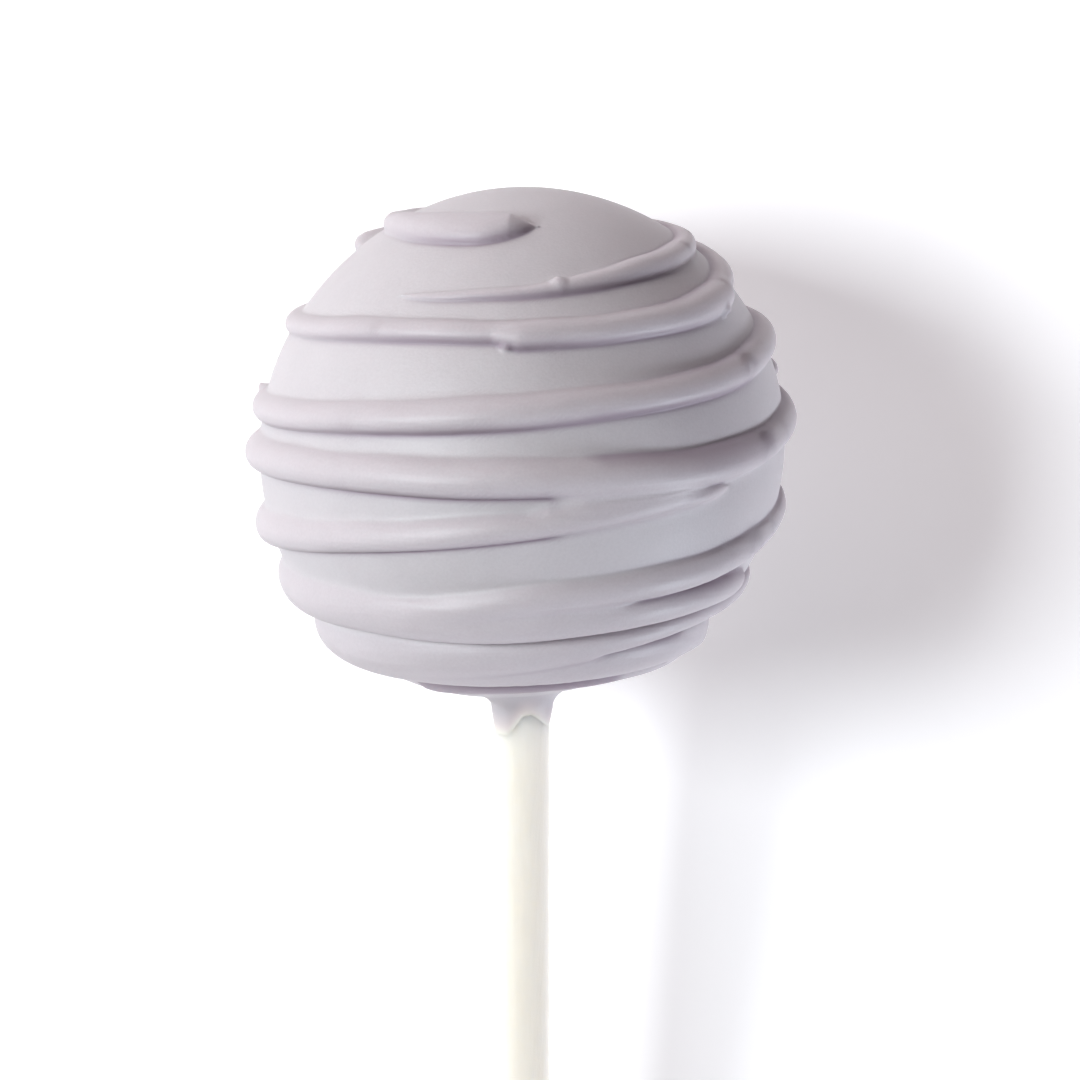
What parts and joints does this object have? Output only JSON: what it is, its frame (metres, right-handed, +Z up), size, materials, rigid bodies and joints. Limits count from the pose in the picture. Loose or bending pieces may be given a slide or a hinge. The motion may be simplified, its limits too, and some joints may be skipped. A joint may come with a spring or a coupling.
{
  "type": "cake pop",
  "caption": "Ball-shaped cake pop in a smooth candy coating, wound with thick drizzle, lying down on its long paper stick.",
  "frame": {"origin": "the small flat spot that the ball rests on, straight below the ball's centre", "axes": "+Y along the pop towards the ball's crown, with the stick's far end at -Y; +Z up, towards the decorated front; +X to the right of that front"},
  "size_m": [0.0399, 0.1682, 0.0398],
  "materials": {
    "candy_coating": "satin lilac grey candy melt, slightly glossier on the drizzle",
    "rolled_paper": "matte off-white tightly rolled paper"
  },
  "bodies": {
    "root": {"coated_cake": "candy_coating", "paper_stick": "rolled_paper"}
  },
  "joints": []
}
